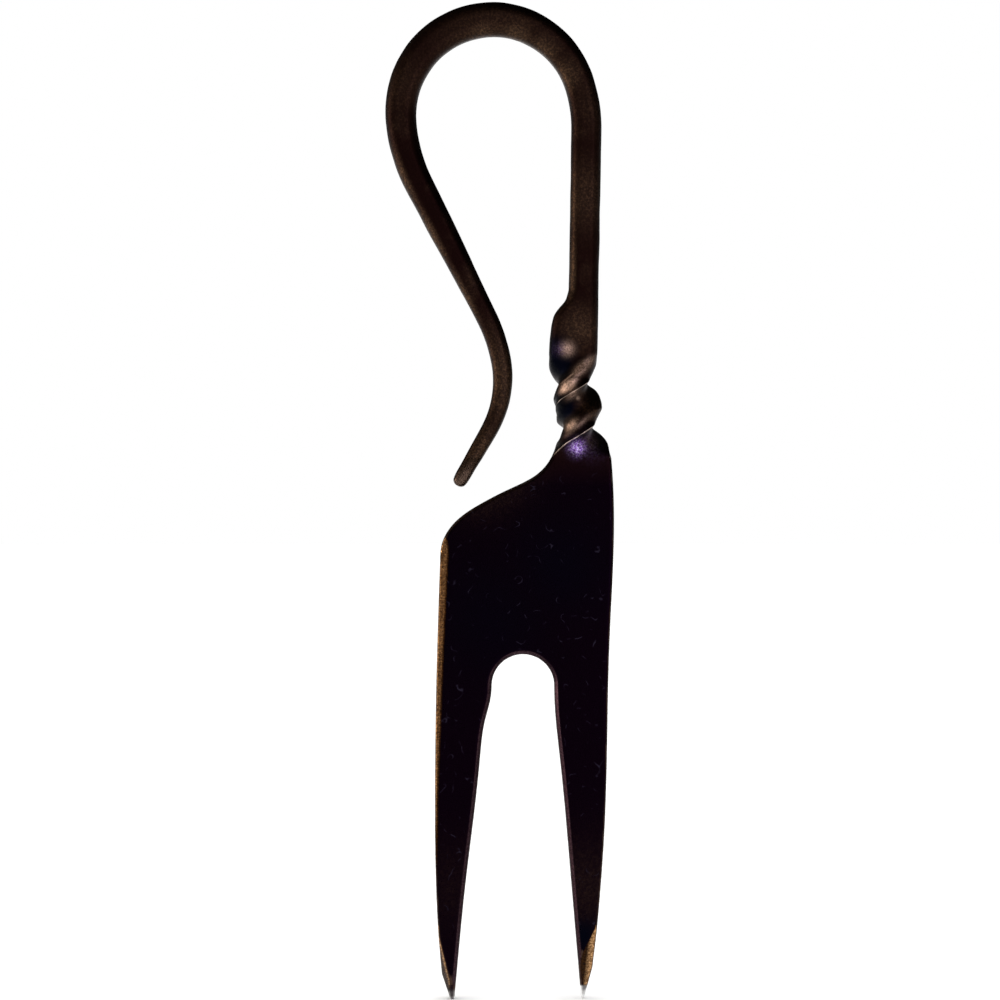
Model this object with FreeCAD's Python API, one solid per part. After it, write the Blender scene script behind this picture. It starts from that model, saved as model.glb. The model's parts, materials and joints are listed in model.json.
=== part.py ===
# A hand-forged divot repair tool: a two-tined blade, a full-turn twist, and a stem bent into a hanging hook.
#
# The real tool is one forging. It is divided here where the smith's work changes from one form to the next,
# and the divisions are flat, level cuts, so that neighbours meet face to face with nothing between them.
#
# Frame, in millimetres: +Z up towards the hook, +X to the right with the hook curling over to the left, and
# the blade's show face towards -Y. The origin is the inner crown of the hook's bow, where the tool hangs.

import FreeCAD, Part
import math
import os
from bisect import bisect_right

from FreeCAD import Vector

# Bar stock: the blade, the twist and the collar keep the full thickness of the flat bar.
STOCK = 3.15
HALF = STOCK / 2

# Levels where one forged form ends and the next begins.
BOW_FOOT = -10.0
LEG_FOOT = -30.0
TAIL_FOOT = -44.6
COLLAR_TOP = -26.5
TWIST_TOP = -33.2
TWIST_FOOT = -44.1
SHOULDER_FOOT = -54.0
SLOT_CENTRE = -68.0
GRIND_TOP = -93.0
TINE_END = -100.9

# Hook: the bar leaves the collar and is bent round to the left, then back on itself into the tail.
HOOK_START = (9.95, COLLAR_TOP)
HOOK_HEADING = 89
HOOK_RUNS = [  # (length, None) is straight; (radius, degrees) is a bend, to the left when positive
    (16.5, None),
    (16, 20),
    (9.5, 116),
    (10, 50),
    (18, 22),
    (15.5, None),
    (17, -16),
    (11, -41),
    (6, None),
]
# Distance along the bar, width in the plane of the hook, depth front to back, corner radius over width.
HOOK_BAR = [
    (0, 3.22, 3.10, 0.32),
    (22, 3.30, 3.10, 0.34),
    (33, 3.78, 3.05, 0.36),
    (40, 3.78, 3.00, 0.36),
    (48, 3.42, 2.95, 0.36),
    (63, 2.92, 2.70, 0.38),
    (70, 2.40, 2.25, 0.40),
    (80, 2.18, 2.00, 0.42),
    (88, 1.72, 1.60, 0.44),
    (91, 1.50, 1.30, 0.46),
]
TIP_LENGTH = 0.65
BAR_STEP = 1.6

# Collar: the stem swells to the full bar, stepping in from the left only.
COLLAR_LEFT = [(-26.5, 8.33), (-27.4, 8.08), (-28.0, 7.70), (-28.6, 7.13), (-29.2, 6.74), (-30.2, 6.48),
               (-31.7, 6.33), (-33.2, 6.25)]
COLLAR_STEPS = 14
COLLAR_RIGHT = [(-26.5, 11.56), (-33.2, 11.43)]
COLLAR_CORNER = 1.0

# Twist: one full right-handed turn at an even rate, easing in and out at both ends.
TWIST_DEGREES = 360
TWIST_EASE = 1.7
TWIST_STEPS = 36
# Wringing left the neck with two waists, leaning a little to the right on its way down.
TWIST_WIDTH = [(-33.2, 5.18), (-36, 4.75), (-38, 5.25), (-40, 4.5), (-42, 4.75), (-43, 5.25), (-44.1, 6.3)]
TWIST_AXIS = [(-33.2, 8.84), (-36.0, 8.75), (-39.0, 9.5), (-40.5, 9.25), (-43.0, 9.75), (-44.1, 9.68)]
# Corner radii down the twist: the edge that leads round the front stays crisp, and the one behind it is soft.
TWIST_CORNERS = [
    [(-33.2, 1.0), (-36.0, 1.2), (-38.5, 1.5), (-39.6, 1.5), (-40.3, 1.3), (-40.9, 0.28), (-44.1, 0.3)],
    [(-33.2, 1.0), (-34.0, 1.4), (-38.3, 1.5), (-39.5, 1.2), (-40.6, 1.0), (-41.4, 0.3), (-44.1, 0.3)],
    [(-33.2, 1.0), (-35.0, 1.5), (-35.8, 1.3), (-36.4, 0.28), (-38.5, 0.28), (-39.5, 1.2), (-40.5, 0.5),
     (-42.0, 0.6), (-44.1, 0.3)],
    [(-33.2, 1.0), (-36.0, 1.0), (-36.8, 0.3), (-38.0, 1.5), (-42.2, 1.5), (-42.8, 0.8), (-44.1, 0.3)],
]

# Blade: the outline of the full bar, with a falling shoulder on the left only.
SHOULDER_LEFT = [(6.53, -44.1), (5.10, -45.8), (1.90, -47.5), (-0.80, -48.9), (-3.60, -50.9), (-4.75, -52.6),
                 (-5.10, -54.1)]
LEFT_EDGE = [(-5.10, -54.1), (-5.44, -64.3), (-5.67, -80.1), (-5.39, -92.7), (-4.65, -100.9)]
RIGHT_EDGE = [(10.42, -100.9), (11.41, -92.7), (12.26, -80.1), (12.62, -64.3), (13.10, -49.0), (12.83, -44.1)]
SLOT_AXIS = 3.57
SLOT_RADIUS = 3.26
LEFT_SLOT_SIDE = [(0.31, -68.0), (-0.40, -71.7), (-0.94, -75.9), (-2.40, -88.5), (-3.62, -100.9)]
RIGHT_SLOT_SIDE = [(6.83, -68.0), (7.46, -75.9), (8.61, -88.5), (9.68, -100.9)]

# Edges of the blade.
EDGE_EASE = 0.30
SLOT_BEVEL = 0.42
FILED_BEVEL = [(-52.5, 0.35), (-53.7, 0.82), (-59.0, 0.80), (-66.0, 0.68), (-74.0, 0.50), (-80.0, 0.33),
               (-86.0, 0.20), (-93.0, 0.12)]
FILED_BEVEL_DEPTH = 0.60  # share of the bevel's width, which is given above by level

# Ground tips. Each outer front corner has a facet, given by two points of its line across the front face and
# how far it reaches round the outer side at FACET_LEVEL.
LEFT_FACET = ((-5.21, -94.1), (-4.19, -98.4), 1.0)
RIGHT_FACET = ((11.21, -93.2), (9.50, -96.6), 1.3)
FACET_LEVEL = -98.5
# The back is ground thinner over BACK_GRIND, and the last END_GRIND of the front is ground bare: its depth (y)
# where that starts, and at the end.
BACK_GRIND = 3.6
BACK_END = 0.55
END_GRIND = 1.5
LEFT_END = (-1.40, -0.60)
RIGHT_END = (-0.50, 0.10)
POINT_LENGTH = 2.2
POINT_SETBACK = 0.6  # share of the tine's end width
INNER_CORNER = 0.12

REACH = 200.0


def between(table, at):
    """Straight-line value from a table of (position, value, ...) rows in rising order of position."""
    i = min(max(bisect_right([row[0] for row in table], at) - 1, 0), len(table) - 2)
    low, high = table[i], table[i + 1]
    share = min(max((at - low[0]) / (high[0] - low[0]), 0), 1)
    return [a + (b - a) * share for a, b in zip(low[1:], high[1:])]


def at_level(table, z):
    """The single value at a level, from (level, value) rows listed from the top down."""
    return between(sorted(table), z)[0]


def level_box(x_low, x_high, z_low, z_high):
    """A block that keeps everything between two levels and two sides."""
    return Part.makeBox(x_high - x_low, REACH, z_high - z_low, Vector(x_low, -REACH / 2, z_low))


def bar_section(centre, across, through, width, depth, corners):
    """A rectangle with rounded corners, in the order (-,-), (+,-), (+,+), (-,+) of across and through."""
    signs = [(-1, -1), (1, -1), (1, 1), (-1, 1)]
    arcs = []
    for (a, t), r in zip(signs, corners):
        corner = centre + across * (a * (width / 2 - r)) + through * (t * (depth / 2 - r))
        side = across * (a * r)
        face = through * (t * r)
        start, end = (side, face) if a * t > 0 else (face, side)
        middle = (side + face) * math.sqrt(0.5)
        arcs.append([corner + start, corner + middle, corner + end])
    edges = []
    for i, (start, middle, end) in enumerate(arcs):
        edges.append(Part.Arc(start, middle, end).toShape())
        edges.append(Part.LineSegment(end, arcs[(i + 1) % 4][0]).toShape())
    return Part.Wire(edges)


def flat_section(z, left, right, corners, turn=0.0):
    """A level section of the bar between two x values, turned about its own centre by an angle in degrees."""
    angle = math.radians(turn)
    across = Vector(math.cos(angle), math.sin(angle), 0)
    through = Vector(-math.sin(angle), math.cos(angle), 0)
    return bar_section(Vector((left + right) / 2, 0, z), across, through, right - left, STOCK, corners)


def run_length(size, degrees):
    """The length of a straight run, or of a bend of a radius through an angle."""
    return size if degrees is None else size * math.radians(abs(degrees))


def hook_path(distance):
    """The centre of the bar and its heading, in radians, at a distance along the hook from the collar."""
    x, z = HOOK_START
    heading = math.radians(HOOK_HEADING)
    for size, degrees in HOOK_RUNS:
        step = min(distance, run_length(size, degrees))
        if degrees is None:
            x += step * math.cos(heading)
            z += step * math.sin(heading)
        else:
            turn = math.copysign(step / size, degrees)
            radius = math.copysign(size, degrees)
            x += radius * (math.sin(heading + turn) - math.sin(heading))
            z -= radius * (math.cos(heading + turn) - math.cos(heading))
            heading += turn
        distance -= step
        if distance <= 0:
            break
    return Vector(x, 0, z), heading


def hook_length():
    return sum(run_length(size, degrees) for size, degrees in HOOK_RUNS)


def hook_section(distance, shrink=1.0):
    """The bar's section square to the hook's centre line, shrunk towards the centre at the rounded tip."""
    centre, heading = hook_path(distance)
    overrun = max(distance - hook_length(), 0)
    centre += Vector(math.cos(heading), 0, math.sin(heading)) * overrun
    across = Vector(math.sin(heading), 0, -math.cos(heading))
    width, depth, corner = between(HOOK_BAR, distance)
    radius = min(corner * width, 0.48 * depth) * shrink
    return bar_section(centre, across, Vector(0, 1, 0), width * shrink, depth * shrink, [radius] * 4)


def hook():
    """The whole hooked bar, from the collar to the rounded tip."""
    length = hook_length()
    steps = round(length / BAR_STEP)
    sections = [flat_section(COLLAR_TOP, COLLAR_LEFT[0][1], COLLAR_RIGHT[0][1], [COLLAR_CORNER] * 4)]
    sections += [hook_section(length * i / steps) for i in range(1, steps + 1)]
    for degrees in (30, 55, 75):
        angle = math.radians(degrees)
        sections.append(hook_section(length + TIP_LENGTH * math.sin(angle), math.cos(angle)))
    return Part.makeLoft(sections, True)


def collar():
    """The swelling between the round-cornered stem and the full bar."""
    sections = []
    for i in range(COLLAR_STEPS + 1):
        z = COLLAR_TOP + (TWIST_TOP - COLLAR_TOP) * i / COLLAR_STEPS
        left = at_level(COLLAR_LEFT, z)
        sections.append(flat_section(z, left, at_level(COLLAR_RIGHT, z), [COLLAR_CORNER] * 4))
    return Part.makeLoft(sections, True)


def twist_turn(z):
    """Degrees that the bar has turned at a level, counted upwards from the blade."""
    height = TWIST_TOP - TWIST_FOOT
    rate = TWIST_DEGREES / (height - TWIST_EASE)
    up = z - TWIST_FOOT
    down = height - up
    if up < TWIST_EASE:
        return rate * up**2 / (2 * TWIST_EASE)
    if down < TWIST_EASE:
        return TWIST_DEGREES - rate * down**2 / (2 * TWIST_EASE)
    return rate * (up - TWIST_EASE / 2)


def twisted_neck():
    """The neck, a flat bar wrung through one full turn that widens into the blade at its foot."""
    sections = []
    for i in range(TWIST_STEPS + 1):
        z = TWIST_TOP + (TWIST_FOOT - TWIST_TOP) * i / TWIST_STEPS
        axis = at_level(TWIST_AXIS, z)
        half = at_level(TWIST_WIDTH, z) / 2
        corners = [at_level(radii, z) for radii in TWIST_CORNERS]
        sections.append(flat_section(z, axis - half, axis + half, corners, twist_turn(z)))
    return Part.makeLoft(sections, True)


def in_plane(points, y=0.0):
    return [Vector(x, y, z) for x, z in points]


def curve(points, y):
    """A smooth curve through points of the blade's plane."""
    spline = Part.BSplineCurve()
    spline.interpolate(in_plane(points, y))
    return spline.toShape()


def slot_side(points, y):
    """One side of the slot, leaving its round end straight down and running to the end of the tine."""
    level = in_plane(points, y)
    spline = Part.BSplineCurve()
    spline.interpolate(Points=level, InitialTangent=Vector(0, 0, -1), FinalTangent=level[-1] - level[-2])
    return spline.toShape()


def straight(start, end, y):
    return Part.LineSegment(*in_plane([start, end], y)).toShape()


def arc(start, middle, end, y):
    return Part.Arc(*in_plane([start, middle, end], y)).toShape()


def blade_outline(y):
    """The blade's outline at a depth, from the neck's left side round by the tines to its right side."""
    slot_top = (SLOT_AXIS, SLOT_CENTRE + SLOT_RADIUS)
    edges = [
        curve(SHOULDER_LEFT, y),
        curve(LEFT_EDGE, y),
        straight(LEFT_EDGE[-1], LEFT_SLOT_SIDE[-1], y),
        slot_side(LEFT_SLOT_SIDE, y),
        arc(LEFT_SLOT_SIDE[0], slot_top, RIGHT_SLOT_SIDE[0], y),
        slot_side(RIGHT_SLOT_SIDE, y),
        straight(RIGHT_SLOT_SIDE[-1], RIGHT_EDGE[0], y),
        curve(RIGHT_EDGE, y),
        straight(RIGHT_EDGE[-1], SHOULDER_LEFT[0], y),
    ]
    return Part.Wire(edges)


def face_edges(shape):
    """The edges of the blade's two faces: those round the slot, and the others, without the cut ends."""
    slot, outer = [], []
    for edge in shape.Edges:
        middle = edge.valueAt((edge.FirstParameter + edge.LastParameter) / 2)
        on_face = abs(abs(middle.y) - HALF) < 1e-6
        at_end = min(abs(middle.z - TWIST_FOOT), abs(middle.z - TINE_END)) < 1e-6
        if not on_face or at_end:
            continue
        left, right = LEFT_SLOT_SIDE[-1][0], RIGHT_SLOT_SIDE[-1][0]
        round_slot = middle.z < SLOT_CENTRE + SLOT_RADIUS + EDGE_EASE and left < middle.x < right
        (slot if round_slot else outer).append(edge)
    return slot, outer


def filed_bevel():
    """The wedge filed off the blade's front left edge, wide at the shoulder and dying out towards the tip."""
    outline = sorted(SHOULDER_LEFT[-2:] + LEFT_EDGE[1:], key=lambda point: point[1])
    edge_at = [(z, x) for x, z in outline]
    sections = []
    for z, width in FILED_BEVEL:
        edge = at_level(edge_at, z)
        corners = [
            Vector(edge - 1.0, -HALF - 1.0, z),
            Vector(edge + width, -HALF - 1.0, z),
            Vector(edge + width, -HALF, z),
            Vector(edge, -HALF + FILED_BEVEL_DEPTH * width, z),
            Vector(edge - 1.0, -HALF + FILED_BEVEL_DEPTH * width, z),
        ]
        sections.append(Part.makePolygon(corners + corners[:1]))
    return Part.makeLoft(sections, True, True)


def blade():
    """The whole blade with its eased edges, before it is divided."""
    front = Part.Face(blade_outline(-HALF))
    solid = front.extrude(Vector(0, STOCK, 0))
    slot, outer = face_edges(solid)
    solid = solid.makeFillet(EDGE_EASE, outer)
    slot, outer = face_edges(solid)
    solid = solid.makeChamfer(SLOT_BEVEL, slot)
    return solid.cut(filed_bevel())


def cut_beyond(shape, points, inside):
    """Cuts away what lies beyond the plane through three points, on the side away from a point that stays."""
    first, second, third = points
    outward = (second - first).cross(third - first).normalize()
    if outward.dot(inside - first) > 0:
        outward = outward * -1
    block = Part.makeBox(REACH, REACH, REACH, Vector(-REACH / 2, -REACH / 2, 0))
    block.Placement = FreeCAD.Placement(first, FreeCAD.Rotation(Vector(0, 0, 1), outward))
    return shape.cut(block)


def ground(tine, facet, front_end, corners, side):
    """Grinds a tine's end, given the x of its outer and inner corners and the side its outer edge faces."""
    outer, inner = corners
    heart = Vector((outer + inner) / 2, 0, GRIND_TOP)
    level = Vector(1, 0, 0)
    start, end, depth = facet
    edge_at = at_level([(z, x) for x, z in (LEFT_EDGE if side < 0 else RIGHT_EDGE)], FACET_LEVEL)
    on_edge = Vector(edge_at, -HALF + depth, FACET_LEVEL)
    tine = cut_beyond(tine, in_plane([start, end], -HALF) + [on_edge], heart)
    top = Vector(outer, front_end[0], TINE_END + END_GRIND)
    tine = cut_beyond(tine, [top, top + level, Vector(outer, front_end[1], TINE_END)], heart)
    top = Vector(outer, HALF, TINE_END + BACK_GRIND)
    tine = cut_beyond(tine, [top, top + level, Vector(outer, BACK_END, TINE_END)], heart)
    edge = Vector(outer + side * 0.15, 0, TINE_END + POINT_LENGTH)
    point = Vector(outer + (inner - outer) * POINT_SETBACK, 0, TINE_END)
    tine = cut_beyond(tine, [edge, point, point + Vector(0, 1, 0)], heart)
    above = Vector(inner, 0, TINE_END + 2 * INNER_CORNER)
    below = Vector(inner + side * INNER_CORNER, 0, TINE_END)
    return cut_beyond(tine, [above, below, below + Vector(0, 1, 0)], heart)


def largest(shape):
    """The main solid of a cut, with the faces left whole."""
    return max(shape.Solids, key=lambda solid: solid.Volume)


def keep(shape, x_low, x_high, z_low, z_high):
    return largest(shape.common(level_box(x_low, x_high, z_low, z_high)))


def main():
    bar = hook()
    plate = blade()
    between_arms = 6.0
    left_end = keep(plate, -REACH, SLOT_AXIS, -REACH, GRIND_TOP)
    right_end = keep(plate, SLOT_AXIS, REACH, -REACH, GRIND_TOP)
    left_corners = (LEFT_EDGE[-1][0], LEFT_SLOT_SIDE[-1][0])
    right_corners = (RIGHT_EDGE[0][0], RIGHT_SLOT_SIDE[-1][0])
    nodes = {
        "hook_bow": keep(bar, -REACH, REACH, BOW_FOOT, REACH),
        "hook_leg": keep(bar, -REACH, between_arms, LEG_FOOT, BOW_FOOT),
        "hook_tail": keep(bar, -REACH, between_arms, TAIL_FOOT, LEG_FOOT),
        "hook_tip": keep(bar, -REACH, between_arms, -REACH, TAIL_FOOT),
        "stem": keep(bar, between_arms, REACH, COLLAR_TOP, BOW_FOOT),
        "stem_collar": collar(),
        "twisted_neck": twisted_neck(),
        "blade_shoulder": keep(plate, -REACH, REACH, SHOULDER_FOOT, TWIST_FOOT),
        "blade_plate": keep(plate, -REACH, REACH, SLOT_CENTRE, SHOULDER_FOOT),
        "left_tine": keep(plate, -REACH, SLOT_AXIS, GRIND_TOP, SLOT_CENTRE),
        "right_tine": keep(plate, SLOT_AXIS, REACH, GRIND_TOP, SLOT_CENTRE),
        "left_tine_point": ground(left_end, LEFT_FACET, LEFT_END, left_corners, -1),
        "right_tine_point": ground(right_end, RIGHT_FACET, RIGHT_END, right_corners, 1),
    }
    os.makedirs("parts", exist_ok=True)
    for name, shape in nodes.items():
        box = shape.optimalBoundingBox()
        print(f"{name:17s} valid {shape.isValid()}  solids {len(shape.Solids)}  {shape.Volume:6.1f} mm3",
              f" x {box.XMin:6.2f} {box.XMax:6.2f}  y {box.YMin:5.2f} {box.YMax:5.2f}",
              f" z {box.ZMin:7.2f} {box.ZMax:7.2f}")
        shape.exportStep(f"parts/{name}.step")


main()
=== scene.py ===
import json

import bmesh
import bpy
import numpy as np
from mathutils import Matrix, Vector, noise


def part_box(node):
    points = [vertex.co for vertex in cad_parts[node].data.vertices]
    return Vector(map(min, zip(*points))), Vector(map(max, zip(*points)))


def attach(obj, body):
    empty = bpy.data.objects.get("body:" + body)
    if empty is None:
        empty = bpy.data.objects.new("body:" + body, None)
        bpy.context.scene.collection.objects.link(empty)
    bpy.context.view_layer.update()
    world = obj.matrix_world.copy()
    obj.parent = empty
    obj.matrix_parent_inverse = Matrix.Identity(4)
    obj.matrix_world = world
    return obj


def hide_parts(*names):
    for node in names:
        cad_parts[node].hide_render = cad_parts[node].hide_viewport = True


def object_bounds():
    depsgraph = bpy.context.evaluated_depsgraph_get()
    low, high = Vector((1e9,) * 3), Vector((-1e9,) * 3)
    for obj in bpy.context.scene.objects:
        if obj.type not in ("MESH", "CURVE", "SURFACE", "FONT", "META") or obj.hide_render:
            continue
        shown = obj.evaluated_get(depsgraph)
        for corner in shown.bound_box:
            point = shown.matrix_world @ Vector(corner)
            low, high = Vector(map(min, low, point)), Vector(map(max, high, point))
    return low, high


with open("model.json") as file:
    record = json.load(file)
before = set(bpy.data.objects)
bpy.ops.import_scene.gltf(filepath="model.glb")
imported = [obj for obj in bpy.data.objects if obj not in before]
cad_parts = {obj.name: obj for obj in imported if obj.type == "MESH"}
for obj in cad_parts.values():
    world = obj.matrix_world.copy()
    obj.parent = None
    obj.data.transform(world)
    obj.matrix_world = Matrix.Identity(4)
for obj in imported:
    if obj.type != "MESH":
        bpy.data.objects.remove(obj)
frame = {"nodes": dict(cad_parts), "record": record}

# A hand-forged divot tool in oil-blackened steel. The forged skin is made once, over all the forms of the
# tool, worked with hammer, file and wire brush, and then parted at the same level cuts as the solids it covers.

CAD_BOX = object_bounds()
MM = 0.001

# Skin
SKIN_GRAIN = 0.10 * MM
WELD = 0.001 * MM
SOFTEN_ROUNDS = 2
SOFTEN_SHARE = 0.5
SURROUND_ROUNDS = 8  # how wide the skin round a point is, in rounds of averaging
PROUD_ROUNDS = 2
CUT_SLACK = 0.002 * MM
LIMB_GAP = 1 * MM  # how far beside a node the tool's other limbs are cut away

# Hammer and planishing marks, spacing and depth, all of them hollows. The bar has two patterns, drawn from two
# places in the noise, and they give way to the blade's over the last of the neck.
BAR_DENTS = (3.2 * MM, 0.090 * MM)
BAR_FLATS = (1.2 * MM, 0.024 * MM)
BAR_FLATS_OFFSET = Vector((1, 2, 3))
BLADE_DENTS = (6.5 * MM, 0.022 * MM)
BLADE_FADE = 4 * MM  # above the top of the blade

# Where the black is thin and brown, rubbed to bronze or heat-tinted violet, and the painted light and shade laid
# on
# in the same way: brown where the light falls, painted highlights and glints, and blue-black painted shade. Each
# is a
# soft round dab: a node, shares of its width and height, a radius in millimetres and a strength.
# Brown where the black is thin, with painted light: the small dabs along the bow's inner edge, on the stem's left
# side and on the tail's right side stand for light from the left and from below
THIN_BLACK_AND_LIGHT = [
    ("hook_bow", 0.50, 0.70, 6.0, 0.45), ("hook_bow", 0.97, 0.25, 4.0, 0.30),
    ("hook_bow", 0.03, 0.40, 4.0, 0.35), ("hook_bow", 0.60, 0.72, 1.8, 1.00),
    ("hook_bow", 0.72, 0.60, 1.8, 1.00), ("hook_bow", 0.82, 0.42, 1.8, 1.00),
    ("hook_bow", 0.45, 0.74, 1.8, 0.80), ("stem", 0.25, 0.60, 3.6, 0.55),
    ("stem_collar", 0.60, 0.40, 2.2, 0.70), ("hook_tail", 0.84, 0.59, 5.0, 0.80),
    ("hook_tail", 0.30, 0.05, 4.0, 0.80), ("twisted_neck", 0.70, 0.50, 1.6, 0.70),
    ("blade_shoulder", 0.10, 0.85, 3.0, 0.08),
    ("left_tine", 0.35, 0.15, 5.0, 0.06), ("right_tine", 0.60, 0.15, 5.0, 0.12),
]
# Painted light: brown dabs on the sides that face the light. They show only where the skin looks to the left,
# from the first value of LEFT_LOOK on and in full at the second
PAINTED_LIGHT_ON_LEFT_SIDE = [
    ("hook_leg", 0.15, 0.75, 3.2, 0.80), ("hook_leg", 0.35, 0.45, 3.2, 1.00),
    ("hook_leg", 0.60, 0.12, 3.2, 1.00), ("stem", 0.05, 0.10, 4.0, 1.00), ("stem", 0.05, 0.55, 4.0, 0.80),
]
LEFT_LOOK = (0.05, 0.60)
# Rubbed bronze with painted highlights: the bright spots on the collar and the twist, and a painted reflection on
# the shoulder
RUBBED_AND_HIGHLIGHTS = [("stem_collar", 0.37, 0.07, 0.62, 0.60), ("twisted_neck", 0.47, 0.57, 0.20, 0.35),
          ("twisted_neck", 0.73, 0.16, 0.70, 0.14), ("hook_tip", 0.35, 0.30, 1.40, 0.25)]
# Heat tint with a painted violet glint at the foot of the twist, and faint painted reflections beside it and on
# the collar
HEAT_TINT_GLINT = [("twisted_neck", 0.46, 0.10, 0.72, 1.10), ("twisted_neck", 0.70, 0.14, 1.30, 0.10),
             ("stem_collar", 0.22, 0.07, 0.60, 0.10)]
# Painted shade: blue-black where the faces of the collar and the twist turn up, away from the light, and on the
# left of the right point; darker patches on the blade
BLUE_BLACK_SHADE = [
    ("stem_collar", 0.08, 0.02, 1.6, 1.60), ("twisted_neck", 0.16, 0.90, 1.4, 1.80),
    ("twisted_neck", 0.20, 0.48, 1.4, 1.80), ("twisted_neck", 0.10, 0.57, 1.0, 1.60),
    ("right_tine_point", 0.35, 0.85, 1.8, 1.00), ("blade_plate", 0.70, 0.90, 5.0, 0.50),
    ("blade_plate", 0.30, 0.50, 6.0, 0.40),
]
# Painted highlights in streaks along the wrung edges of the twist: a node, shares of its width and height, the
# streak's length and width in millimetres and a strength. They rise to the right at 39 degrees.
TWIST_SLOPE = (0.777, 0.629)
HIGHLIGHT_STREAKS = [
    ("twisted_neck", 0.53, 0.86, 0.95, 0.38, 2.20), ("twisted_neck", 0.32, 0.69, 0.75, 0.42, 2.20),
    ("twisted_neck", 0.40, 0.81, 1.90, 0.10, 1.00), ("twisted_neck", 0.38, 0.61, 0.70, 0.35, 0.90),
    ("twisted_neck", 0.36, 0.32, 0.60, 0.38, 1.80), ("twisted_neck", 0.48, 0.31, 1.20, 0.25, 0.35),
]

# Faces dressed with file and wheel after blackening: the way each one looks, and how nearly the skin has to look
# that way to count, at first and in full
FILED_FACE = Vector((-0.51, -0.86, 0.0))
LEFT_FACET = Vector((-0.83, -0.53, -0.20))
RIGHT_FACET = Vector((0.47, -0.85, -0.24))
FACET_SPREAD = (0.94, 0.985)
FILED_TOP = 1.5 * MM  # above the top of the blade's body
FILED_TOP_BLUR = 0.1 * MM
FILED_REACH = 1.6 * MM
FILED_FADE = (3 * MM, 13 * MM)  # above the foot of the tine
FILED_HIGHLIGHT = (0.48, 0.62)  # how far to the left the strip looks where its painted highlight starts and is brightest
# The line along which each ground facet's painted highlight runs: how steeply it leans inwards on its way down,
# and how far to the left of it the highlight starts and is brightest
LEFT_FACET_HIGHLIGHT = (0.25, 0.6 * MM, 0.1 * MM)
RIGHT_FACET_HIGHLIGHT = (0.11, 1.0 * MM, 0.3 * MM)

# The slot's bevel: how far it looks into the slot, and how far it looks away from the blade's face and its wall
INTO_SLOT = (0.35, 0.60)
OFF_FACE = (-0.97, -0.90)
OFF_WALL = (0.30, 0.50)

# The bare ends: their length, the blur of the bright one's line, and the strength and slow rise of the dull one
BARE_LENGTH = 1.4 * MM
BARE_BLUR = 0.12 * MM
DULL_BARE = 0.35
DULL_RISE = (0.2 * MM, 0.8 * MM)

# Texture settings: how far apart a wave texture's bands are at a scale of 1
BAND_SPACING = 0.314

# Studio, in metres and watts. A softbox has a place from the middle of the tool, a width and height, a power
# and a tint. The walls are brightest low on the left, in front.
FLOOR_RADIUS = 4
OVERHEAD_POWER = 4.2
OVERHEAD_SPREAD = 1.2
SOFTBOXES = [
    ("left_softbox", (-0.45, -0.08, -0.015), (0.16, 0.22), 1.1, "#fff2e4"),
    ("right_fill", (0.45, -0.12, -0.08), (0.20, 0.30), 0.12, "#fff2ee"),
    ("window_glint", (0.30, -0.95, 0.12), (0.06, 0.06), 1.5, "#f4ecff"),
]
BRIGHTEST_WALL = (-0.80, -0.50, -0.33)

# Camera
LENS = 135
FRAME_WIDTH = 105 * MM
FRAME_OFF_CENTRE = 0.08 * MM
SEEN_DEPTH = (0.01, 20)


def colour(code):
    """A hex sRGB colour as the linear colour that a shader takes."""
    parts = [int(code[i:i + 2], 16) / 255 for i in (1, 3, 5)]
    linear = [p / 12.92 if p <= 0.04045 else ((p + 0.055) / 1.055) ** 2.4 for p in parts]
    return (*linear, 1.0)


# ---------------------------------------------------------------- the forged skin

def welded_solids():
    """Copies of all the solids in one mesh, welded where they meet."""
    bm = bmesh.new()
    for node in frame["nodes"].values():
        bm.from_mesh(node.data)
    bmesh.ops.remove_doubles(bm, verts=bm.verts, dist=WELD)
    mesh = bpy.data.meshes.new("welded_solids")
    bm.to_mesh(mesh)
    bm.free()
    return mesh


def even_skin(mesh):
    """One closed skin of even grain over the whole tool, with nothing left inside it."""
    holder = bpy.data.objects.new("skin_holder", mesh)
    bpy.context.scene.collection.objects.link(holder)
    remesh = holder.modifiers.new("skin", "REMESH")
    remesh.mode = "VOXEL"
    remesh.voxel_size = SKIN_GRAIN
    graph = bpy.context.evaluated_depsgraph_get()
    skin = bpy.data.meshes.new_from_object(holder.evaluated_get(graph))
    bpy.data.objects.remove(holder)
    bpy.data.meshes.remove(mesh)
    return skin


def dent(point, marks):
    """How deep the hammer left a point, for marks of a given spacing and depth."""
    spacing, depth = marks
    return depth * (0.5 + 0.5 * noise.noise(point / spacing))


def hammered(place, facing):
    """Forging marks: the drawn bar is dented and planished, the blade is only dressed."""
    blade_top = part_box("blade_shoulder")[1].z
    depths = []
    for x, y, z in place:
        point = Vector((x, y, z))
        on_blade = min(max((blade_top + BLADE_FADE - z) / BLADE_FADE, 0), 1)
        bar = dent(point, BAR_DENTS) + dent(point + BAR_FLATS_OFFSET, BAR_FLATS)
        depths.append(bar + (dent(point, BLADE_DENTS) - bar) * on_blade)
    return place - facing * np.array(depths)[:, None]


def averaged(values, edges, count):
    """The mean of each point's value and its neighbours' values."""
    sums = [np.bincount(edges[:, 0], values[edges[:, 1], i], len(values))
            + np.bincount(edges[:, 1], values[edges[:, 0], i], len(values))
            for i in range(values.shape[1])]
    return (values + np.stack(sums, 1)) / count


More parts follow.
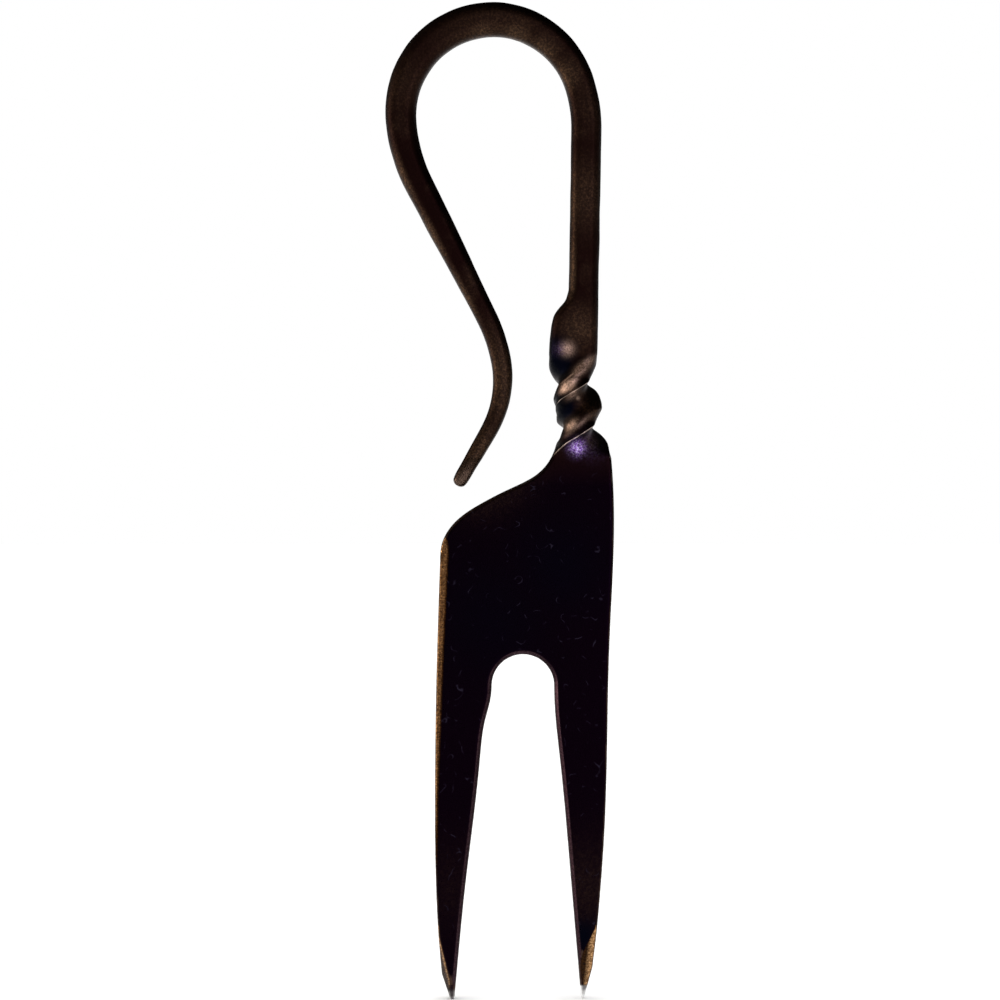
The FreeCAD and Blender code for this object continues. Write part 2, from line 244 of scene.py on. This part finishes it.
def proudness(place, facing, edges):
    """How far each point stands proud of the skin round it, which is where handling rubs the black off and where
    the edges get painted highlights.
    """
    count = 1 + np.bincount(edges.ravel(), minlength=len(place))[:, None]
    smooth = place
    for _ in range(SURROUND_ROUNDS):
        smooth = averaged(smooth, edges, count)
    proud = ((place - smooth) * facing).sum(1)[:, None] / SKIN_GRAIN
    for _ in range(PROUD_ROUNDS):
        proud = averaged(proud, edges, count)
    return proud[:, 0]


def ramp(values, start, end):
    """A smooth rise from 0 at start to 1 at end."""
    share = np.clip((values - start) / (end - start), 0, 1)
    return share * share * (3 - 2 * share)


def raised(least, values, start, end):
    """A smooth rise from a least value at start to 1 at end."""
    return least + (1 - least) * ramp(values, start, end)


def dabbed(place, dabs):
    """The strength at each point of a finish put on in soft round dabs, the same on the front and the back."""
    strength = np.zeros(len(place))
    for node, across, up, radius, amount in dabs:
        low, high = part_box(node)
        centre = np.array((low.x + (high.x - low.x) * across, low.z + (high.z - low.z) * up))
        off = ((place[:, [0, 2]] - centre) ** 2).sum(1) / (radius * MM) ** 2
        strength = np.maximum(strength, amount * np.exp(-off))
    return np.minimum(strength, 1)


def streaked_highlight(place, streaks):
    """The strength at each point of a painted highlight laid on in streaks that follow the twist."""
    strength = np.zeros(len(place))
    slope = np.array(TWIST_SLOPE)
    for node, across, up, length, width, amount in streaks:
        low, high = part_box(node)
        centre = np.array((low.x + (high.x - low.x) * across, low.z + (high.z - low.z) * up))
        away = (place[:, [0, 2]] - centre) / MM
        along, aside = away @ slope, away @ np.array((-slope[1], slope[0]))
        strength = np.maximum(strength, amount * np.exp(-(along / length) ** 2 - (aside / width) ** 2))
    return np.minimum(strength, 1)


def slot_bevel(place, facing):
    """The bevel round the slot, told from the outer edges by the side it faces."""
    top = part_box("blade_plate")[1].z
    axis = (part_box("left_tine")[1].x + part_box("right_tine")[0].x) / 2
    inward = np.where(place[:, 0] < axis, facing[:, 0], -facing[:, 0])
    off_plane = np.abs(facing[:, 1])
    on_bevel = ramp(np.maximum(inward, -facing[:, 2]), *INTO_SLOT) * ramp(-off_plane, *OFF_FACE)
    return on_bevel * ramp(off_plane, *OFF_WALL) * (place[:, 2] < top)


def bare_ends(place):
    """The last of each tine, ground to bare steel: bright on the right one, already dull on the left one."""
    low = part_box("right_tine_point")[0]
    level = low.z + BARE_LENGTH
    start, full = DULL_RISE
    right = ramp(-place[:, 2], -level - BARE_BLUR, -level + BARE_BLUR) * (place[:, 0] > low.x)
    left = DULL_BARE * ramp(-place[:, 2], -level + start, -level + full) * (place[:, 0] < low.x)
    return right + left


def filed_strip(place, facing):
    """The strip filed down the blade's left edge, with a painted highlight along its outer, left-facing side."""
    low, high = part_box("blade_plate")
    fade_low, fade_high = FILED_FADE
    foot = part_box("left_tine")[0].z
    cut = ramp(facing @ FILED_FACE, *FACET_SPREAD) * (place[:, 0] < low.x + FILED_REACH)
    cut *= ramp(-place[:, 2], -high.z - FILED_TOP - FILED_TOP_BLUR, -high.z - FILED_TOP + FILED_TOP_BLUR)
    cut *= ramp(place[:, 2], foot + fade_low, foot + fade_high)
    return cut * raised(0.5, -facing[:, 0], *FILED_HIGHLIGHT)


def ground_facets(place, facing):
    """The facet on the outer front corner of each tine, with a painted highlight along the left one's ridge and
    the right one's outer side.
    """
    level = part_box("left_tine_point")[1].z
    lean, start, lit_most = LEFT_FACET_HIGHLIGHT
    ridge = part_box("left_tine_point")[0].x + lean * (level - place[:, 2])
    left = ramp(facing @ LEFT_FACET, *FACET_SPREAD) * (place[:, 0] < 0)
    left *= raised(0.45, place[:, 0], ridge - start, ridge - lit_most)
    lean, start, lit_most = RIGHT_FACET_HIGHLIGHT
    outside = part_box("right_tine_point")[1].x - lean * (level - place[:, 2])
    right = ramp(facing @ RIGHT_FACET, *FACET_SPREAD) * (place[:, 0] > 0)
    right *= raised(0.4, place[:, 0], outside - start, outside - lit_most)
    return np.maximum(left, right) * (place[:, 2] < level)


def forged_skin():
    """The whole skin, with its forging marks in its shape, and its wear, painted light and painted shade in point
    attributes.
    """
    bm = bmesh.new()
    bm.from_mesh(even_skin(welded_solids()))
    for _ in range(SOFTEN_ROUNDS):
        bmesh.ops.smooth_vert(bm, verts=bm.verts, factor=SOFTEN_SHARE,
                              use_axis_x=True, use_axis_y=True, use_axis_z=True)
    bm.normal_update()
    mesh = bpy.data.meshes.new("forged_skin")
    bm.to_mesh(mesh)
    bm.free()
    count = len(mesh.vertices)
    place, facing = np.empty(count * 3), np.empty(count * 3)
    edges = np.empty(len(mesh.edges) * 2, int)
    mesh.vertices.foreach_get("co", place)
    mesh.vertices.foreach_get("normal", facing)
    mesh.edges.foreach_get("vertices", edges)
    place, facing, edges = place.reshape(-1, 3), facing.reshape(-1, 3), edges.reshape(-1, 2)
    # Painted light: the skin that looks to the left, towards the light
    lit_left_side = ramp(-facing[:, 0], *LEFT_LOOK)
    paints = {
        "proud": proudness(place, facing, edges),
        "dressed_and_lit": np.maximum(filed_strip(place, facing), ground_facets(place, facing)),
        "slot_bevel": slot_bevel(place, facing),
        "bare": bare_ends(place),
        "thin_black_and_lit": np.maximum(dabbed(place, THIN_BLACK_AND_LIGHT), dabbed(place, PAINTED_LIGHT_ON_LEFT_SIDE) * lit_left_side),
        "rubbed_and_highlight": np.maximum(dabbed(place, RUBBED_AND_HIGHLIGHTS), streaked_highlight(place, HIGHLIGHT_STREAKS)),
        "heat_tint_glint": dabbed(place, HEAT_TINT_GLINT),
        "blue_black_shade": dabbed(place, BLUE_BLACK_SHADE),
    }
    mesh.vertices.foreach_set("co", hammered(place, facing).ravel())
    for name, values in paints.items():
        mesh.attributes.new(name, "FLOAT", "POINT").data.foreach_set("value", values.astype(np.float32))
    return mesh


# ---------------------------------------------------------------- parting the skin into its pieces

def part_off(bm, point, normal):
    """Cuts away all that lies beyond a plane, and closes the cut with a flat face."""
    geometry = bm.verts[:] + bm.edges[:] + bm.faces[:]
    cut = bmesh.ops.bisect_plane(bm, geom=geometry, dist=WELD / 10, plane_co=point, plane_no=normal,
                                 clear_outer=True)
    rim = [e for e in cut["geom_cut"] if isinstance(e, bmesh.types.BMEdge) and e.is_boundary]
    if rim:
        closed = bmesh.ops.holes_fill(bm, edges=rim, sides=0)
        for face in closed["faces"]:
            face.smooth = False
            for edge in face.edges:
                edge.smooth = False


def forged_piece(skin, node, finish):
    """The piece of the skin that covers one node, between the node's own cuts."""
    low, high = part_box(node)
    whole_low, whole_high = CAD_BOX
    bm = bmesh.new()
    bm.from_mesh(skin)
    for face in bm.faces:
        face.smooth = True
    if high.z < whole_high.z - CUT_SLACK:
        part_off(bm, high, Vector((0, 0, 1)))
    if low.z > whole_low.z + CUT_SLACK:
        part_off(bm, low, Vector((0, 0, -1)))
    part_off(bm, high + Vector((LIMB_GAP, 0, 0)), Vector((1, 0, 0)))
    part_off(bm, low - Vector((LIMB_GAP, 0, 0)), Vector((-1, 0, 0)))
    mesh = bpy.data.meshes.new(node + "_forged")
    bm.to_mesh(mesh)
    bm.free()
    mesh.materials.append(finish)
    piece = bpy.data.objects.new(node + "_forged", mesh)
    bpy.context.scene.collection.objects.link(piece)
    return piece


# ---------------------------------------------------------------- finishes

def add(tree, kind, inputs=None, out=0, **options):
    """Adds a node with its options, and gives back one output. An input is a value, a hex colour or an output."""
    node = tree.nodes.new(kind)
    for name, value in options.items():
        setattr(node, name, value)
    for name, value in (inputs or {}).items():
        if isinstance(value, bpy.types.NodeSocket):
            tree.links.new(value, node.inputs[name])
        else:
            node.inputs[name].default_value = colour(value) if isinstance(value, str) else value
    return node.outputs[out] if node.outputs else None


def blackened_steel(name):
    """Mild steel blackened with oil on the hot metal: near black, brown where the black is thin, bronze where it
    is rubbed or filed through, and grey steel where the ends were ground last, with painted highlights, a painted
    violet glint and painted shade laid over it."""
    material = bpy.data.materials.new(name)
    material.use_nodes = True
    tree = material.node_tree
    tree.nodes.clear()
    place = add(tree, "ShaderNodeTexCoord", out="Object")
    proud, dressed_and_lit, bare, thin_black_and_lit, rubbed_and_highlight, heat_tint_glint, blue_black_shade, on_slot_bevel = (
        add(tree, "ShaderNodeAttribute", out="Fac", attribute_name=paint)
        for paint in ("proud", "dressed_and_lit", "bare", "thin_black_and_lit", "rubbed_and_highlight", "heat_tint_glint", "blue_black_shade",
                      "slot_bevel"))

    # Grain of the scaled and brushed surface, really about 0.1 mm and drawn at up to twice that so that it shows
    grain = add(tree, "ShaderNodeTexNoise",
                {"Vector": place, "Scale": 1 / (0.17 * MM), "Detail": 3, "Roughness": 0.7})
    fleck = add(tree, "ShaderNodeTexNoise",
                {"Vector": place, "Scale": 1 / (0.24 * MM), "Detail": 4, "Roughness": 0.8})
    cloud = add(tree, "ShaderNodeTexNoise", {"Vector": place, "Scale": 1 / (3.0 * MM), "Detail": 4})
    height = add(tree, "ShaderNodeSeparateXYZ", {"Vector": place}, "Z")
    neck_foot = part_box("twisted_neck")[0].z
    collar_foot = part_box("stem_collar")[0].z
    on_bar = add(tree, "ShaderNodeMapRange",
                 {"Value": height, "From Min": neck_foot - 3 * MM, "From Max": neck_foot + 1 * MM})
    on_hook = add(tree, "ShaderNodeMapRange", {"Value": height, "From Min": collar_foot - 1 * MM,
                  "From Max": collar_foot + 2 * MM, "To Max": 0.3})

    # Black: purple-black on the blade, warmer on the bar, with brown clouds, brown painted light where the light
    # falls, blue-black painted shade and a painted reflection on the slot's bevel
    black = add(tree, "ShaderNodeMix", {0: on_bar, 6: "#080208", 7: "#140807"}, 2, data_type="RGBA")
    patch = add(tree, "ShaderNodeMapRange", {"Value": cloud, "From Min": 0.50, "From Max": 0.72})
    patch = add(tree, "ShaderNodeMath", {0: patch, 1: on_hook}, operation="MULTIPLY")
    thin_and_lit = add(tree, "ShaderNodeMath", {0: patch, 1: thin_black_and_lit}, operation="MAXIMUM")
    body = add(tree, "ShaderNodeMix", {0: thin_and_lit, 6: black, 7: "#2a1f18"}, 2, data_type="RGBA")
    speck = add(tree, "ShaderNodeMapRange", {"Value": fleck, "From Min": 0.46, "From Max": 0.80, "To Max": 0.5})
    speck = add(tree, "ShaderNodeMath", {0: speck, 1: thin_and_lit}, operation="MULTIPLY")
    body = add(tree, "ShaderNodeMix", {0: speck, 6: body, 7: "#866448"}, 2, data_type="RGBA")
    # Painted shade in blue-black
    body = add(tree, "ShaderNodeMix", {0: blue_black_shade, 6: body, 7: "#03040c"}, 2, data_type="RGBA")
    # Painted reflection: the slot's bevel is lightened purple-grey, as if it mirrored the pale room
    slot_rim_reflection = add(tree, "ShaderNodeMapRange", {"Value": grain, "From Min": 0.35, "From Max": 0.60, "To Min": 0.3})
    slot_rim_reflection = add(tree, "ShaderNodeMath", {0: slot_rim_reflection, 1: on_slot_bevel}, operation="MULTIPLY")
    body = add(tree, "ShaderNodeMix", {0: slot_rim_reflection, 6: body, 7: "#3c2a30"}, 2, data_type="RGBA")

    # Lint and hairline scratches in the oil of the blade, really under 0.05 mm wide and drawn at 0.1 mm
    drift = add(tree, "ShaderNodeTexNoise", {"Vector": place, "Scale": 1 / (1.9 * MM), "Detail": 1})
    off_line = add(tree, "ShaderNodeMath", {0: drift, 1: 0.5}, operation="SUBTRACT")
    off_line = add(tree, "ShaderNodeMath", {0: off_line}, operation="ABSOLUTE")
    line = add(tree, "ShaderNodeMapRange",
               {"Value": off_line, "From Min": 0.012, "From Max": 0.003, "To Max": 0.5})
    where = add(tree, "ShaderNodeTexNoise", {"Vector": place, "Scale": 1 / (0.9 * MM), "Detail": 1})
    where = add(tree, "ShaderNodeMapRange", {"Value": where, "From Min": 0.56, "From Max": 0.68})
    lint = add(tree, "ShaderNodeMath", {0: line, 1: where}, operation="MULTIPLY")
    on_blade = add(tree, "ShaderNodeMapRange", {"Value": on_bar, "From Min": 0.5, "From Max": 0.0})
    lint = add(tree, "ShaderNodeMath", {0: lint, 1: on_blade}, operation="MULTIPLY")
    body = add(tree, "ShaderNodeMix", {0: lint, 6: body, 7: "#2e2a38"}, 2, data_type="RGBA")

    # Bronze: painted highlights on the crests of the twist, partly rubbed bronze, in grains, and the sharp edges
    # drawn as fine lines, partly worn and partly painted highlight
    broken = add(tree, "ShaderNodeMapRange", {"Value": grain, "From Min": 0.35, "From Max": 0.62, "To Min": 0.3})
    crest_highlight = add(tree, "ShaderNodeMath", {0: rubbed_and_highlight, 1: broken}, operation="MULTIPLY")
    body = add(tree, "ShaderNodeMix", {0: crest_highlight, 6: body, 7: "#dcb8a2"}, 2, data_type="RGBA")
    # Worn edges, and painted highlights along the sharp creases and the blade's eased edges
    edge_wear_and_highlight = add(tree, "ShaderNodeMix", {0: on_bar, 6: "#4c3a32", 7: "#f2dccc"}, 2, data_type="RGBA")
    sharp = add(tree, "ShaderNodeMapRange", {"Value": on_bar, "To Min": 1.5, "To Max": 1.0})
    sharp = add(tree, "ShaderNodeMath", {0: sharp, 1: proud}, operation="MULTIPLY")
    edge = add(tree, "ShaderNodeMapRange", {"Value": sharp, "From Min": 0.38, "From Max": 0.50, "To Max": 0.7})
    broken = add(tree, "ShaderNodeMapRange", {"Value": cloud, "From Min": 0.35, "From Max": 0.60, "To Min": 0.35})
    edge = add(tree, "ShaderNodeMath", {0: edge, 1: broken}, operation="MULTIPLY")
    body = add(tree, "ShaderNodeMix", {0: edge, 6: body, 7: edge_wear_and_highlight}, 2, data_type="RGBA")

    # Heat tint with a painted violet glint, broken up into specks
    tint_glint = add(tree, "ShaderNodeMapRange", {"Value": fleck, "From Min": 0.40, "From Max": 0.60, "To Min": 0.12})
    tint_glint = add(tree, "ShaderNodeMath", {0: tint_glint, 1: heat_tint_glint}, operation="MULTIPLY")
    glint_violet = add(tree, "ShaderNodeMapRange", {"Value": grain, "From Min": 0.45, "From Max": 0.62})
    glint_violet = add(tree, "ShaderNodeMix", {0: glint_violet, 6: "#8a58c0", 7: "#e0ccff"}, 2, data_type="RGBA")
    body = add(tree, "ShaderNodeMix", {0: tint_glint, 6: body, 7: glint_violet}, 2, data_type="RGBA")

    # Filed bronze: the file's teeth run straight across the edge, really 0.1 mm apart and drawn at 0.28 mm
    teeth = add(tree, "ShaderNodeTexWave", {"Vector": place, "Scale": BAND_SPACING / (0.28 * MM),
                "Distortion": 9.0, "Detail": 3, "Detail Scale": 2.5, "Detail Roughness": 0.7}, "Fac",
                bands_direction="Z")
    # Painted highlight: the dressed faces are brighter where the light falls, down the filed strip's left side and
    # along the facets' ridge and outer side
    facet_highlight = add(tree, "ShaderNodeMapRange", {"Value": dressed_and_lit, "From Min": 0.5, "From Max": 1.0})
    bright = add(tree, "ShaderNodeMapRange", {"Value": fleck, "From Min": 0.38, "From Max": 0.66})
    ticks = add(tree, "ShaderNodeMapRange", {"Value": teeth, "To Min": 0.35})
    bright = add(tree, "ShaderNodeMath", {0: bright, 1: ticks}, operation="MULTIPLY")
    bronze = add(tree, "ShaderNodeMix", {0: facet_highlight, 6: "#140904", 7: "#4a2e18"}, 2, data_type="RGBA")
    gold = add(tree, "ShaderNodeMix", {0: facet_highlight, 6: "#40260f", 7: "#e8b680"}, 2, data_type="RGBA")
    bronze = add(tree, "ShaderNodeMix", {0: bright, 6: bronze, 7: gold}, 2, data_type="RGBA")
    cut = add(tree, "ShaderNodeMapRange", {"Value": dressed_and_lit, "From Min": 0.1, "From Max": 0.35})
    body = add(tree, "ShaderNodeMix", {0: cut, 6: body, 7: bronze}, 2, data_type="RGBA")

    # Bare steel of the ground ends, brightest along the burr round them
    burr = add(tree, "ShaderNodeMapRange", {"Value": proud, "From Min": 0.2, "From Max": 0.45})
    steel = add(tree, "ShaderNodeMix", {0: burr, 6: "#767474", 7: "#ffffff"}, 2, data_type="RGBA")
    body = add(tree, "ShaderNodeMix", {0: bare, 6: body, 7: steel}, 2, data_type="RGBA")

    # The blade is smooth under its oil, the bar has the dry scale of the fire
    oiled = add(tree, "ShaderNodeMapRange", {"Value": grain, "From Min": 0.3, "From Max": 0.7, "To Min": 0.24,
                "To Max": 0.36})
    scaled = add(tree, "ShaderNodeMapRange", {"Value": grain, "From Min": 0.3, "From Max": 0.7, "To Min": 0.38,
                 "To Max": 0.56})
    rough = add(tree, "ShaderNodeMix", {0: on_bar, 2: oiled, 3: scaled})
    coat = add(tree, "ShaderNodeMapRange", {"Value": on_bar, "To Min": 0.3})
    coat = add(tree, "ShaderNodeMath", {0: coat, 1: grain}, operation="MULTIPLY")
    relief = add(tree, "ShaderNodeMix", {0: cut, 2: coat, 3: teeth})
    bump = add(tree, "ShaderNodeBump", {"Strength": 0.5, "Distance": 0.03 * MM, "Height": relief}, "Normal")
    shader = add(tree, "ShaderNodeBsdfPrincipled",
                 {"Base Color": body, "Metallic": 1.0, "Roughness": rough, "Normal": bump})
    add(tree, "ShaderNodeOutputMaterial", {"Surface": shader})
    return material


# ---------------------------------------------------------------- studio

def softbox(name, place, target, size, watts, tint):
    """A rectangular area light that looks at a target."""
    lamp = bpy.data.lights.new(name, "AREA")
    lamp.shape = "RECTANGLE"
    lamp.size, lamp.size_y = size
    lamp.energy = watts
    lamp.color = colour(tint)[:3]
    light = bpy.data.objects.new(name, lamp)
    light.location = place
    light.rotation_mode = "QUATERNION"
    light.rotation_quaternion = (target - place).to_track_quat("-Z", "Y")
    bpy.context.scene.collection.objects.link(light)


def studio(centre, floor_level):
    """A matt white floor, an overhead light that isn't seen in reflections, the softboxes, and walls that are
    white to the eye and only bright on one side in reflections."""
    scene = bpy.context.scene
    scene.view_settings.view_transform = "Standard"
    bm = bmesh.new()
    bmesh.ops.create_circle(bm, cap_ends=True, segments=96, radius=FLOOR_RADIUS)
    bmesh.ops.translate(bm, verts=bm.verts, vec=(centre.x, centre.y, floor_level))
    mesh = bpy.data.meshes.new("studio_floor")
    bm.to_mesh(mesh)
    bm.free()
    paint = bpy.data.materials.new("matt_white_floor")
    paint.use_nodes = True
    shader = paint.node_tree.nodes["Principled BSDF"]
    shader.inputs["Base Color"].default_value = colour("#f2f2f2")
    shader.inputs["Roughness"].default_value = 0.9
    shader.inputs["Specular IOR Level"].default_value = 0.0
    mesh.materials.append(paint)
    floor = bpy.data.objects.new("studio_floor", mesh)
    scene.collection.objects.link(floor)

    sky = bpy.data.lights.new("overhead_diffuser", "SUN")
    sky.energy = OVERHEAD_POWER
    sky.angle = OVERHEAD_SPREAD
    overhead = bpy.data.objects.new("overhead_diffuser", sky)
    overhead.visible_glossy = False
    scene.collection.objects.link(overhead)

    for name, offset, size, watts, tint in SOFTBOXES:
        softbox(name, centre + Vector(offset), centre, size, watts, tint)

    world = bpy.data.worlds.new("studio_walls")
    scene.world = world
    world.use_nodes = True
    tree = world.node_tree
    tree.nodes.clear()
    seen = add(tree, "ShaderNodeLightPath", out="Is Camera Ray")
    way = add(tree, "ShaderNodeTexCoord", out="Generated")
    towards = add(tree, "ShaderNodeVectorMath", {0: way, 1: BRIGHTEST_WALL}, "Value", operation="DOT_PRODUCT")
    level = add(tree, "ShaderNodeMapRange",
                {"Value": towards, "From Min": -0.2, "From Max": 1.0, "To Min": 0.01, "To Max": 0.50})
    walls = add(tree, "ShaderNodeBackground", {"Color": "#fff4e8", "Strength": level})
    pale = add(tree, "ShaderNodeBackground", {"Color": "#ffffff", "Strength": 1.0})
    both = add(tree, "ShaderNodeMixShader", {0: seen, 1: walls, 2: pale})
    add(tree, "ShaderNodeOutputWorld", {"Surface": both})


def camera(centre):
    """A long lens straight in front, far enough away for the frame to be FRAME_WIDTH wide at the tool."""
    data = bpy.data.cameras.new("front_camera")
    data.lens = LENS
    distance = FRAME_WIDTH * LENS / data.sensor_width
    eye = bpy.data.objects.new("front_camera", data)
    eye.location = centre + Vector((FRAME_OFF_CENTRE, -distance, 0))
    eye.rotation_euler = (np.pi / 2, 0, 0)
    data.clip_start, data.clip_end = SEEN_DEPTH
    bpy.context.scene.collection.objects.link(eye)
    bpy.context.scene.camera = eye


low, high = CAD_BOX
middle = (low + high) / 2
camera(middle)
studio(middle, low.z)
finishes = {"blackened_steel": blackened_steel("oil_blackened_forged_steel"),
            "ground_steel": blackened_steel("ground_and_blackened_tine_steel")}
slots = {part["node"]: part["material_slot"] for part in frame["record"]["subparts"]}
skin = forged_skin()
for node in sorted(frame["nodes"]):
    piece = forged_piece(skin, node, finishes[slots[node]])
    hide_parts(node)
    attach(piece, "root")
bpy.data.meshes.remove(skin)
